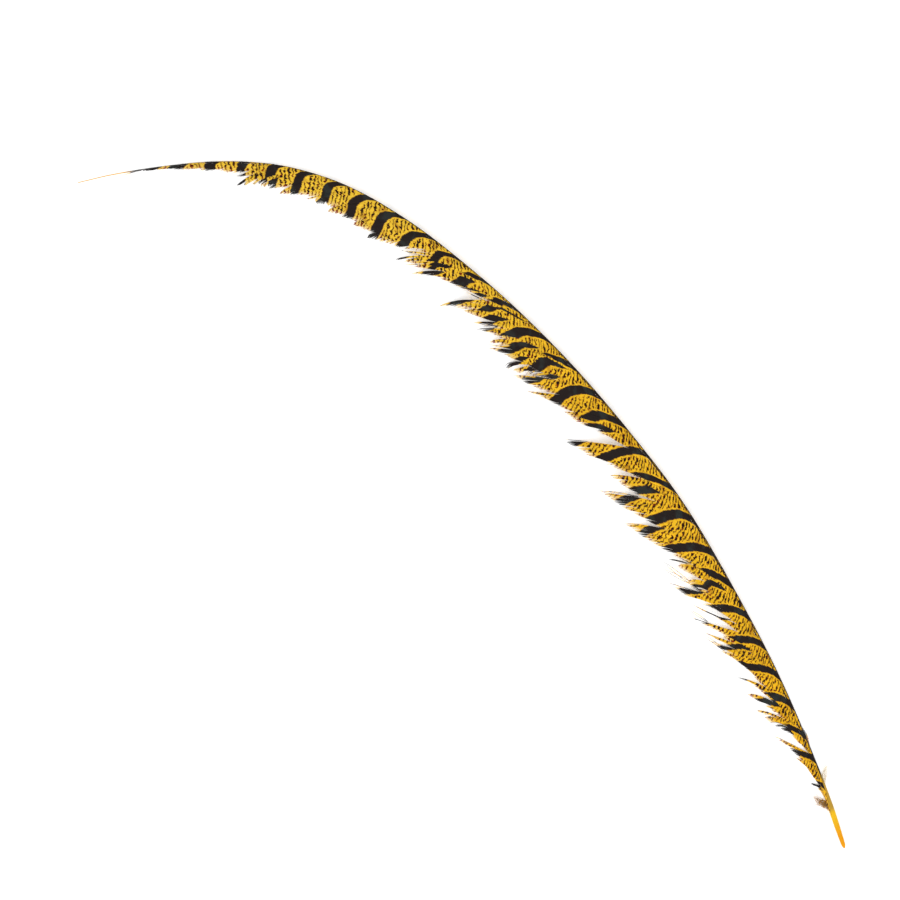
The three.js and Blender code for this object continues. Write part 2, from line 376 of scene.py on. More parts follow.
    def phase(self, along: np.ndarray, out: np.ndarray) -> tuple[np.ndarray, np.ndarray]:
        """The place of points among the bars.

        Args:
            along: Places of the points along the feather.
            out: Their distances from the shaft.

        Returns:
            The place among the bars, which is a whole number in the middle of each bar, and half
            the width of the nearest bar in that measure.
        """
        middles = np.empty((*along.shape, len(self.bars)))
        halves = np.empty_like(middles)
        slip = np.maximum(along - self.slip_run.at(out), 0)
        for number, stretches in enumerate(self.bars):
            start = stretches[0][2][0]
            lawful = self.law(start, out)
            for (slip_along, slip_out), half, *points in reversed(stretches):
                places, outs = np.array(points, float).T
                middle = lawful + np.interp(out, outs, places - self.law(start, outs))
                on_it = slip >= slip_along - self.slip_run.at(slip_out)
                middles[on_it, number] = middle[on_it]
                halves[on_it, number] = half
        for number in range(1, len(self.bars)):
            nearest = middles[..., number - 1] + self.least_gap
            middles[..., number] = np.maximum(middles[..., number], nearest)
        before = np.clip((middles <= along[..., None]).sum(-1) - 1, 0, len(self.bars) - 2)
        low = np.take_along_axis(middles, before[..., None], -1)[..., 0]
        high = np.take_along_axis(middles, before[..., None] + 1, -1)[..., 0]
        near_shaft = np.exp(-out / self.flare_depth)
        led = along + self.lead * near_shaft
        phase = np.maximum(before + (led - low) / (high - low), self.least_phase)
        nearest = np.clip(np.round(phase), 0, len(self.bars) - 1).astype(int)
        half = np.take_along_axis(halves, nearest[..., None], -1)[..., 0]
        return phase, (half + self.flare * near_shaft) / (high - low)

    def choose_rings(self, barbs: "Barbs", count: int) -> np.ndarray:
        """Chooses the rings of finely sampled barbs that are kept.

        They are spread out evenly, with one just before and one just after every slip.

        Args:
            barbs: The barbs.
            count: How many rings each of them keeps.

        Returns:
            The numbers of the rings, with a row for each barb.
        """
        last = barbs.along.shape[1] - 1
        even = np.round(np.linspace(0, 1, count) ** self.ring_crowding * last).astype(int)
        chosen = np.tile(even, (len(barbs.along), 1))
        phase, _ = self.phase(barbs.marked_along, barbs.out)
        for barb, sample in np.argwhere(np.abs(np.diff(phase, axis=1)) > self.jump):
            ring = np.clip(np.abs(chosen[barb] - sample).argmin(), 1, count - 3)
            chosen[barb, ring : ring + 2] = sample, sample + 1
        chosen = np.sort(chosen, axis=1)
        for ring in range(1, count):
            chosen[:, ring] = np.maximum(chosen[:, ring], chosen[:, ring - 1] + 1)
        return np.minimum(chosen, last - np.arange(count)[::-1])

    def line_place(self, along: np.ndarray, out: np.ndarray) -> np.ndarray:
        """Distance across the fine dark lines, which lean the other way beside the shaft."""
        lean = self.line_lean.at(along)
        return along + lean * (1 - np.exp(-out / self.lean_depth)) + self.line_slant * out


# ---------------------------------------------------------------- barbs


BAR_WAVER = 0.8  # mm between the two ends of the range by which the markings shift, barb by barb
LOWEST_POINT, LOWEST_HAIR = 0.02, 0.05  # mm over the surface
SIDE_EDGES = (0.02, 0.36, 0.70, 0.98)  # shares of a map strip's width, between a blade's three sides
STRIP_START, STRIP_SPAN = 0.01, 0.96  # where the strip starts and how much of its row it takes
ROOT_CAP, TIP_CAP = (0.002, 0.009, 0.002), (0.004, 0.004, 0.012)  # heights of the end faces' corners


@dataclass
class Barbs:
    """Many barbs side by side, each drawn as a thin closed blade with a ridge along its top.

    Every array has a row for each barb and a column for each ring of points along it: its place
    along and out, its lift off the surface that the barb lies on, its distance from the root, half
    the blade's width and the height of its ridge there, and a number from 0 to 1 for each barb.
    """

    along: np.ndarray
    out: np.ndarray
    lift: np.ndarray
    reach: np.ndarray
    half_width: np.ndarray
    rise: np.ndarray
    luck: np.ndarray

    @property
    def marked_along(self) -> np.ndarray:
        """Places of the rings along the feather for the markings, which waver from barb to barb."""
        return self.along + (self.luck - 0.5) * BAR_WAVER

    def at_rings(self, chosen: np.ndarray) -> "Barbs":
        """The same barbs with only the chosen rings."""
        return Barbs(*(np.take_along_axis(getattr(self, part.name), chosen, 1) for part in fields(self)))

    @property
    def to_tip(self) -> np.ndarray:
        """Distance from each ring to the barb's own tip."""
        return self.reach[:, -1:] - self.reach


class Ring(Enum):
    """The corners of a blade's cross-section."""

    LEFT = 0
    RIDGE = 1
    RIGHT = 2


def blade_mesh(name: str, centres: np.ndarray, facing: np.ndarray, barbs: Barbs) -> bpy.types.Object:
    """Builds the joined mesh of many blades.

    Args:
        name: Name of the new object.
        centres: Middle of every ring, in mm in the frame.
        facing: Which way the top of every ring faces.
        barbs: Widths and heights of the blades.

    Returns:
        The object, with its OFBake map laid out barb by barb.
    """
    count, rings = barbs.along.shape
    ways = unit(np.gradient(centres, axis=1))
    sides = unit(np.cross(facing, ways))
    tops = unit(np.cross(ways, sides))
    wide = barbs.half_width[..., None]
    corners = np.stack(
        [centres - sides * wide, centres + tops * barbs.rise[..., None], centres + sides * wide], 2
    )
    corners[..., 2] = np.maximum(corners[..., 2], LOWEST_POINT)
    index = np.arange(count * rings * len(Ring)).reshape(count, rings, len(Ring))
    here, there = index[:, :-1], index[:, 1:]
    quads = []
    for corner in Ring:
        a, b = corner.value, (corner.value + 1) % len(Ring)
        quads.append(np.stack([here[..., a], there[..., a], there[..., b], here[..., b]], -1))
    quads = np.stack(quads, 2).reshape(-1, 4)
    starts = index[:, 0][:, [Ring.LEFT.value, Ring.RIDGE.value, Ring.RIGHT.value]]
    ends = index[:, -1][:, [Ring.LEFT.value, Ring.RIGHT.value, Ring.RIDGE.value]]
    mesh = bpy.data.meshes.new(name)
    mesh.from_pydata(
        (corners.reshape(-1, 3) * MM).tolist(), [], quads.tolist() + starts.tolist() + ends.tolist()
    )
    piece = bpy.data.objects.new(name, mesh)
    bpy.context.scene.collection.objects.link(piece)
    lay_out_bake_map(piece, count, rings)
    return piece


def lay_out_bake_map(piece: bpy.types.Object, count: int, rings: int, rows: int = 4) -> None:
    """Gives a mesh of blades its OFBake map: a strip for each blade, in a few rows.

    Args:
        piece: The mesh of blades.
        count: Number of blades.
        rings: Number of rings of points in each blade.
        rows: Number of rows of strips.
    """
    per_row = math.ceil(count / rows)
    blade = np.arange(count)
    left = (blade % per_row) / per_row
    base = (blade // per_row) / rows
    edges = np.array(SIDE_EDGES) / per_row
    climb = np.linspace(STRIP_START, STRIP_START + STRIP_SPAN / rows, rings)
    u0 = left[:, None, None] + edges[:-1][None, None]
    u1 = left[:, None, None] + edges[1:][None, None]
    v0 = base[:, None, None] + climb[:-1][None, :, None]
    v1 = base[:, None, None] + climb[1:][None, :, None]
    shape = (count, rings - 1, 3)
    u0, u1, v0, v1 = (np.broadcast_to(value, shape) for value in (u0, u1, v0, v1))
    quads = np.stack([u0, v0, u0, v1, u1, v1, u1, v0], -1).reshape(-1, 2)
    cap_u = left[:, None] + edges[:-1][None]
    low = base[:, None] + np.array(ROOT_CAP)[None] / rows
    high = base[:, None] + (climb[-1] + np.array(TIP_CAP) / rows)[None]
    caps = [np.stack([cap_u, low], -1).reshape(-1, 2), np.stack([cap_u, high], -1).reshape(-1, 2)]
    layer = piece.data.uv_layers.new(name="OFBake")
    layer.data.foreach_set("uv", np.vstack([quads, *caps]).astype(np.float32).ravel())


def tapered(half_width: np.ndarray | float, fullness: np.ndarray, tip: float = 0.2) -> np.ndarray:
    """Half widths of blades, from the share `tip` of it where fullness is 0 to all of it at 1."""
    return half_width * (tip + (1 - tip) * fullness)


def store_vectors(mesh: bpy.types.Mesh, name: str, vectors: np.ndarray) -> None:
    """Stores a vector for each point of a mesh, in the order of its points."""
    attribute = mesh.attributes.new(name, "FLOAT_VECTOR", "POINT")
    attribute.data.foreach_set("vector", vectors.astype(np.float32).ravel())


def give_attribute(piece: bpy.types.Object, name: str, values: tuple[np.ndarray, ...]) -> None:
    """Stores three numbers for each ring of a mesh of blades, for its material to read.

    Args:
        piece: The mesh of blades.
        name: Name of the attribute.
        values: Three arrays with a row for each blade and a column for each ring.
    """
    shape = np.broadcast_shapes(*(value.shape for value in values))
    stacked = np.stack([np.broadcast_to(value, shape) for value in values], -1)
    store_vectors(piece.data, name, np.repeat(stacked[:, :, None], len(Ring), axis=2))


@dataclass(frozen=True)
class BarbCourse:
    """How a barb that nothing pulls aside runs: out from the shaft and bending towards the edge.

    It turns by `bend` radians in each mm, and so it follows a part of a circle.
    """

    root_angle: float = math.radians(20)
    bend: float = math.radians(0.44)

    def angle(self, out: np.ndarray) -> np.ndarray:
        """Angle between the barb and the shaft when it is `out` from it."""
        return np.arccos(math.cos(self.root_angle) - self.bend * out)

    def run(self, out: np.ndarray) -> np.ndarray:
        """How far the barb has run along the shaft when it is `out` from it."""
        return (np.sin(self.angle(out)) - math.sin(self.root_angle)) / self.bend

    def length(self, out: np.ndarray) -> np.ndarray:
        """Length of the barb when it is `out` from the shaft."""
        return (self.angle(out) - self.root_angle) / self.bend

    def point(self, root: np.ndarray, reach: np.ndarray) -> tuple[np.ndarray, np.ndarray]:
        """Along and out of the barb, `reach` from its root."""
        angle = self.root_angle + self.bend * reach
        along = root + (np.sin(angle) - math.sin(self.root_angle)) / self.bend
        return along, (math.cos(self.root_angle) - np.cos(angle)) / self.bend


# ---------------------------------------------------------------- node building


Socket = bpy.types.NodeSocket
Value = Socket | float | tuple[float, ...]
Slope = tuple[float, ...]  # for Graph.ease: low and high, and start and end where they aren't 0 and 1
Noise = tuple[float, float, float]  # for Graph.swing: scale, size and detail


def colour(code: str) -> tuple[float, float, float, float]:
    """A colour for a shader from its usual six-figure code."""
    parts = [int(code[i : i + 2], 16) / 255 for i in (0, 2, 4)]
    linear = [c / 12.92 if c <= 0.04045 else ((c + 0.055) / 1.055) ** 2.4 for c in parts]
    return (*linear, 1.0)


class Graph:
    """A shader node tree that is being drawn."""

    def __init__(self, tree: bpy.types.NodeTree) -> None:
        """Starts on a tree."""
        self.tree = tree

    def feed(self, socket: Socket, value: Value) -> None:
        """Joins a socket to another, or sets its value."""
        if isinstance(value, Socket):
            self.tree.links.new(value, socket)
        else:
            socket.default_value = value

    def feed_all(self, node: bpy.types.Node, inputs: dict[str | int, Value]) -> None:
        """Joins or sets several inputs of a node, each given by name or number."""
        for name, value in inputs.items():
            self.feed(node.inputs[name], value)

    def node(self, kind: str, inputs: dict[str | int, Value], **settings: object) -> bpy.types.Node:
        """Adds a node.

        Args:
            kind: Its type, without the leading ShaderNode.
            inputs: What each input socket gets, by name or number.
            **settings: The node's own settings.

        Returns:
            The node.
        """
        made = self.tree.nodes.new("ShaderNode" + kind)
        for name, setting in settings.items():
            setattr(made, name, setting)
        self.feed_all(made, inputs)
        return made

    def math(self, operation: str, *values: Value) -> Socket:
        """The result of a sum on one to three values."""
        return self.node("Math", dict(enumerate(values)), operation=operation).outputs[0]

    def ease(
        self, value: Value, low: float, high: float, start: float = 0, end: float = 1
    ) -> Socket:
        """Goes smoothly from start to end while the value goes from low to high."""
        inputs = {"Value": value, "From Min": low, "From Max": high, "To Min": start, "To Max": end}
        return self.node("MapRange", inputs, interpolation_type="SMOOTHSTEP").outputs[0]

    def swing(self, vector: Value, scale: float, size: float, detail: float = 2) -> Socket:
        """Smooth noise that swings about zero by about `size`."""
        centred = self.math("SUBTRACT", self.noise(vector, scale, detail), 0.5)
        return self.math("MULTIPLY", centred, 4 * size)

    def mix(self, share: Value, low: Value, high: Value, blend: str = "MIX") -> Socket:
        """One colour mixed into another."""
        inputs = {0: share, 6: low, 7: high}
        return self.node("Mix", inputs, data_type="RGBA", blend_type=blend).outputs[2]

    def vector(self, x: Value, y: Value, z: Value) -> Socket:
        """Three values joined into a vector."""
        return self.node("CombineXYZ", {0: x, 1: y, 2: z}).outputs[0]

    def noise(self, vector: Value, scale: float, detail: float = 2) -> Socket:
        """Smooth noise from 0 to 1."""
        inputs = {"Vector": vector, "Scale": scale, "Detail": detail}
        return self.node("TexNoise", inputs).outputs[0]

    def parts(self, name: str) -> list[Socket]:
        """The three numbers of an attribute."""
        vector = self.node("Attribute", {}, attribute_name=name).outputs["Vector"]
        return list(self.node("SeparateXYZ", {0: vector}).outputs)


def new_group(
    name: str, inputs: dict[str, str], outputs: dict[str, str]
) -> tuple[Graph, dict[str, Socket], bpy.types.Node]:
    """Starts a shader node group.

    Args:
        name: Name of the group.
        inputs: Kind of each input socket, by its name.
        outputs: Kind of each output socket, by its name.

    Returns:
        The graph, the group's inputs by name, and its output node.
    """
    tree = bpy.data.node_groups.new(name, "ShaderNodeTree")
    for side, sockets in (("INPUT", inputs), ("OUTPUT", outputs)):
        for title, kind in sockets.items():
            tree.interface.new_socket(title, in_out=side, socket_type="NodeSocket" + kind)
    graph = Graph(tree)
    entry = tree.nodes.new("NodeGroupInput")
    return graph, {title: entry.outputs[title] for title in inputs}, tree.nodes.new("NodeGroupOutput")


def new_material(name: str) -> tuple[bpy.types.Material, Graph, bpy.types.Node]:
    """An empty material, its graph and its Principled BSDF."""
    material = bpy.data.materials.new(name)
    material.use_nodes = True
    tree = material.node_tree
    return material, Graph(tree), tree.nodes["Principled BSDF"]


def dress(piece: bpy.types.Object, material: bpy.types.Material) -> None:
    """Gives a piece its finish and its place in the frame."""
    piece.data.materials.clear()
    piece.data.materials.append(material)
    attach(piece, BODY)


# ---------------------------------------------------------------- finishes


class Effects:
    """Shader node groups that more than one finish uses, each built once."""

    def __init__(self) -> None:
        """Builds the groups."""
        self.dye = self._dye()

    @staticmethod
    def _dye() -> bpy.types.NodeTree:
        """Uneven dye: cloudy light and dark, and a different strength on each strand."""
        inputs = {"Colour": "Color", "Place": "Vector", "Strand": "Float", "Strength": "Float"}
        graph, given, out = new_group("UnevenDye", inputs, {"Colour": "Color"})
        cloud = graph.swing(given["Place"], 0.09, 0.3, 3)
        strand = graph.math("MULTIPLY_ADD", given["Strand"], 0.5, -0.25)
        tone = graph.math("ADD", cloud, strand)
        tone = graph.math("MULTIPLY_ADD", tone, given["Strength"], 1.0)
        shade = graph.vector(tone, tone, tone)
        graph.feed(out.inputs[0], graph.mix(1.0, given["Colour"], shade, "MULTIPLY"))
        return graph.tree

    def use_dye(
        self, graph: Graph, base: Value, place: Value, strand: Value, strength: float
    ) -> Socket:
        """Places the uneven dye in a material.

        Args:
            graph: Graph of the material.
            base: The colour that is dyed.
            place: Where on the piece it is, in mm.
            strand: A number from 0 to 1 for each strand.
            strength: How uneven the dye is.

        Returns:
            The dyed colour.
        """
        inputs = {"Colour": base, "Place": place, "Strand": strand, "Strength": strength}
        return graph.node("Group", inputs, node_tree=self.dye).outputs[0]


@dataclass(frozen=True)
class BarredBarbs:
    """Finish of the vanes: gold-dyed barbs with black bars and fine broken dark lines, with painted green
    sheen on the bars and painted shade in cloudy patches on the gold.

    It reads two attributes of each ring of points: `markings` holds the distance across the fine
    lines, the distance out from the shaft and the place among the bars; `strand` holds half the
    width of the bars, the distance to the barb's tip and a number from 0 to 1 for each barb. The
    golds follow each other by the number of the bar, and the pale and plain ends of the barbs are
    measured from the tip, in mm.
    """

    deep_gold: str = "E4B018"
    gold: str = "E4B420"
    light_gold: str = "E6BE34"
    pale_gold: str = "EED596"
    brown: str = "8E2E00"
    dark_brown: str = "220E02"
    black: str = "211917"
    # painted sheen: the green-black that the bars take in patches stands in for their glossy green sheen
    green_black: str = "2E3634"
    # orange-brown of the bars' rims, which is the feather's own, and of the patches of painted shade on the
    # gold
    rust_and_painted_shade: str = "8E4E0C"
    to_gold: Slope = (1, 9)
    to_light_gold: Slope = (12, 21)
    pale_end: Slope = (9, 0.5)
    pale_out: Slope = (5, 12, 0.25, 0.8)
    plain_end: Slope = (1, 7, 0.4, 1)
    # painted shade: where the cloudy orange-brown patches lie on the gold
    painted_shade_patches: Slope = (0.56, 0.72, 0, 0.5)
    # painted sheen: where the green-black patches lie on the bars
    painted_sheen_patches: Slope = (0.5, 0.64, 0, 0.55)
    line_period: float = 3.0
    line_waves: tuple[Noise, ...] = ((0.15, 1.2, 1), (0.5, 1.0, 1))
    line_breaks: Noise = (0.45, 1.05, 1)
    line_edge: Slope = (0.1, 0.75)
    line_rim: Slope = (0, 0.24)
    line_heart: Slope = (0.45, 0.9)
    bar_raggedness: Noise = (0.35, 0.02, 3)
    bar_edge: Slope = (-0.03, 0.022)
    clean_edge: Slope = (-0.1, -0.055)
    bar_rim: Slope = (0.05, 0.5)
    bar_heart: Slope = (0.35, 0.75)
    dye_strength: float = 0.4
    roughness: float = 0.6
    gloss: float = 0.12

    def make(self, effects: Effects) -> bpy.types.Material:
        """Builds the material."""
        material, graph, shader = new_material("barred_barbs")
        across, out, phase = graph.parts("markings")
        half, to_tip, luck = graph.parts("strand")
        place = graph.vector(across, out, graph.math("MULTIPLY", luck, 0.6))
        ground = self._ground(graph, effects, phase, place, luck)
        end = graph.ease(to_tip, *self.pale_end)
        pale = graph.math("MULTIPLY", end, graph.ease(out, *self.pale_out))
        ground = graph.mix(pale, ground, colour(self.pale_gold))
        bar, clean = self._bars(graph, phase, half, place)
        room = graph.math("SUBTRACT", 1.0, clean)
        room = graph.math("MULTIPLY", room, graph.ease(to_tip, *self.plain_end))
        marked = graph.math("MULTIPLY", self._fine_lines(graph, across, out), room)
        body = graph.mix(graph.ease(marked, *self.line_rim), ground, colour(self.brown))
        body = graph.mix(graph.ease(marked, *self.line_heart), body, colour(self.dark_brown))
        # painted sheen: green-black patches on the black bars, mixed into their colour
        painted_sheen_mask = graph.ease(graph.noise(place, 0.1), *self.painted_sheen_patches)
        dark = graph.mix(painted_sheen_mask, colour(self.black), colour(self.green_black))
        edge = graph.mix(graph.ease(bar, *self.bar_rim), body, colour(self.rust_and_painted_shade))
        final = graph.mix(graph.ease(bar, *self.bar_heart), edge, dark)
        inputs = {"Base Color": final, "Roughness": self.roughness, "Specular IOR Level": self.gloss}
        graph.feed_all(shader, inputs)
        return material

    def _ground(
        self, graph: Graph, effects: Effects, phase: Value, place: Value, luck: Value
    ) -> Socket:
        """The gold ground: deepest near the quill, with cloudy orange-brown patches of painted shade at
        random places.

        Args:
            graph: Graph of the material.
            effects: The shared node groups.
            phase: The place among the bars.
            place: Where on the vane it is.
            luck: A number from 0 to 1 for each barb.

        Returns:
            The colour of the ground.
        """
        ground = graph.mix(
            graph.ease(phase, *self.to_gold), colour(self.deep_gold), colour(self.gold)
        )
        ground = graph.mix(graph.ease(phase, *self.to_light_gold), ground, colour(self.light_gold))
        # painted shade: cloudy orange-brown patches at random places on the gold
        painted_shade = graph.ease(graph.noise(place, 0.11), *self.painted_shade_patches)
        ground = graph.mix(painted_shade, ground, colour(self.rust_and_painted_shade))
        return effects.use_dye(graph, ground, place, luck, self.dye_strength)

    def _fine_lines(self, graph: Graph, across: Value, out: Value) -> Socket:
        """The mask of the fine, wavy, broken lines.

        Args:
            graph: Graph of the material.
            across: Distance across the lines.
            out: Distance from the shaft.

        Returns:
            0 on the ground and 1 in the middle of a line.
        """
        place = graph.vector(across, out, 0.0)
        wave = across
        for noise in self.line_waves:
            wave = graph.math("ADD", wave, graph.swing(place, *noise))
        turn = graph.math("MULTIPLY", wave, 2 * math.pi / self.line_period)
        crest = graph.math("SINE", turn)
        elsewhere = graph.vector(wave, out, 40.0)
        level = graph.math("ADD", crest, graph.swing(elsewhere, *self.line_breaks))
        return graph.ease(level, *self.line_edge)

    def _bars(self, graph: Graph, phase: Value, half: Value, place: Value) -> tuple[Socket, Socket]:
        """The masks of the bars and of the clean ground beside them.

        Args:
            graph: Graph of the material.
            phase: The place among the bars.
            half: Half the width of the bars.
            place: Where on the vane it is.

        Returns:
            The mask of the bars and that of the bars with the clean ground.
        """
        ragged = graph.swing(place, *self.bar_raggedness)
        centred = graph.math("ADD", graph.math("FRACT", graph.math("ADD", phase, 0.5)), -0.5)
        depth = graph.math("SUBTRACT", half, graph.math("ABSOLUTE", centred))
        depth = graph.math("ADD", depth, ragged)
        return graph.ease(depth, *self.bar_edge), graph.ease(depth, *self.clean_edge)


@dataclass(frozen=True)
class Keratin:
    """Finish of the quill and the shaft: horn that goes from orange over yellow to dark brown.

    Each of its later tones is where it starts, where it is full, in mm from the butt, and its code.
    """

    orange: str = "E29600"
    later_tones: tuple[tuple[float, float, str], ...] = (
        (6, 24, "E4B414"), (24.5, 29, "B28C30"), (42, 58, "1E130B"), (742, 752, "E0A848"),
    )  # fmt: skip
    dye_strength: float = 0.35
    gloss: float = 0.12
    scatter: float = 0.05
    scatter_reach: tuple[float, float, float] = (1.0, 0.6, 0.2)
    scatter_scale: float = 0.002
    roughness: Slope = (0.3, 0.7, 0.4, 0.52)
    ripple: float = 0.25
    ripple_height: float = 0.0001

    def make(self, effects: Effects) -> bpy.types.Material:
        """Builds the material. It reads the attribute `shaft`, which holds the distance along it."""
        material, graph, shader = new_material("quill_keratin")
        along, _, around = graph.parts("shaft")
        place = graph.vector(graph.math("MULTIPLY", along, 0.35), around, 0.0)
        tone = colour(self.orange)
        for start, full, code in self.later_tones:
            tone = graph.mix(graph.ease(along, start, full), tone, colour(code))
        streak = graph.noise(graph.vector(graph.math("MULTIPLY", along, 0.12), around, 0.0), 2.5, 3)
        ripple = {"Strength": self.ripple, "Distance": self.ripple_height, "Height": streak}
        inputs = {
            "Base Color": effects.use_dye(graph, tone, place, streak, self.dye_strength),
            "Roughness": graph.ease(streak, *self.roughness),
            "Specular IOR Level": self.gloss,
            "Normal": graph.node("Bump", ripple).outputs[0],
            "Subsurface Weight": self.scatter,
            "Subsurface Radius": self.scatter_reach,
            "Subsurface Scale": self.scatter_scale,
        }
        graph.feed_all(shader, inputs)
        return material


@dataclass(frozen=True)
class Down:
    """Finish of the downy strands: dull, soft, and lighter towards their tips."""

    name: str
    root: str
    tip: str
    dye_strength: float = 0.5
    roughness: float = 0.85

    def make(self, effects: Effects) -> bpy.types.Material:
        """Builds the material. It reads the attribute `strand`, as the barbs' finish does."""
        material, graph, shader = new_material(self.name)
        share, _, luck = graph.parts("strand")
        tone = graph.mix(share, colour(self.root), colour(self.tip))
        place = graph.vector(graph.math("MULTIPLY", share, 10.0), luck, 0.0)
        dyed = effects.use_dye(graph, tone, place, luck, self.dye_strength)
        graph.feed_all(shader, {"Base Color": dyed, "Roughness": self.roughness})
        return material


# ---------------------------------------------------------------- parts of the feather


@dataclass
class Shaft:
    """The quill and the shaft: one tapering rod, rounded at the butt and grooved underneath."""

    line: ShaftLine
    sides: int = 16
    steps: int = 150
    step_crowding: float = 1.35
    butt_rounding: tuple[float, ...] = (0.45, 0.8, 0.97)
    smooth_angle: float = math.radians(50)
    groove: float = 0.22
    groove_half_width: float = 0.45
    groove_full: float = 90
    tip_drift: Profile = Profile(((752, 0), (762, 0.3), (784, 1.4)))

    def build(self, finish: bpy.types.Material) -> bpy.types.Object:
        """Models the rod straight, then lays it along its line.

        Args:
            finish: Material of the quill and the shaft.

        Returns:
            The finished piece.
        """
        rod = self._straight_rod()
        self._lay_along_line(rod)
        bpy.ops.object.shade_smooth_by_angle(angle=self.smooth_angle)
        dress(rod, finish)
        return rod

    def _straight_rod(self) -> bpy.types.Object:
        """Extrudes a circle along X, ring by ring, at each ring's radius."""
        share = np.linspace(0, 1, self.steps) ** self.step_crowding
        stops = self.line.butt + (self.line.length - self.line.butt) * share
        radii = self.line.radius.at(stops)
        radii[: len(self.butt_rounding)] *= self.butt_rounding
        bpy.ops.object.select_all(action="DESELECT")
        bpy.ops.mesh.primitive_circle_add(
            vertices=self.sides,
            radius=radii[0] * MM,
            fill_type="NGON",
            rotation=(0, math.pi / 2, 0),
            location=(stops[0] * MM, 0, 0),
        )
        rod = bpy.context.object
        rod.name = rod.data.name = "quill_and_shaft"
        bpy.ops.object.transform_apply()
        bpy.ops.object.mode_set(mode="EDIT")
        bpy.ops.mesh.select_all(action="SELECT")
        for before, stop, narrow, wide in zip(stops, stops[1:], radii, radii[1:]):
            bpy.ops.mesh.extrude_region_move(TRANSFORM_OT_translate={"value": ((stop - before) * MM, 0, 0)})
            bpy.ops.transform.resize(
                value=(1, wide / narrow, wide / narrow), center_override=(stop * MM, 0, 0)
            )
        bpy.ops.mesh.select_all(action="SELECT")
        bpy.ops.mesh.normals_make_consistent(inside=False)
        bpy.ops.object.mode_set(mode="OBJECT")
        return rod

    def _lay_along_line(self, rod: bpy.types.Object) -> None:
        """Moves the straight rod's points to where they lie on the feather."""
        straight = np.array([vertex.co for vertex in rod.data.vertices]) / MM
        along, side, top = straight.T
        radius = self.line.radius.at(along)
        under = np.exp(-((side / (self.groove_half_width * radius)) ** 2)) * (top < -0.5 * radius)
        lift = self.groove * radius * under
        lift = lift * smoothstep(along, self.line.quill_end, self.groove_full)
        up = np.maximum(self.line.height(along) + top + lift, 0.0)
        points = self.line.place(along, side + self.tip_drift.at(along), up) * MM
        rod.data.vertices.foreach_set("co", points.astype(np.float32).ravel())
        store_vectors(rod.data, "shaft", np.stack([along, side, np.arctan2(side, top) * 2], -1))
        rod.data.update()


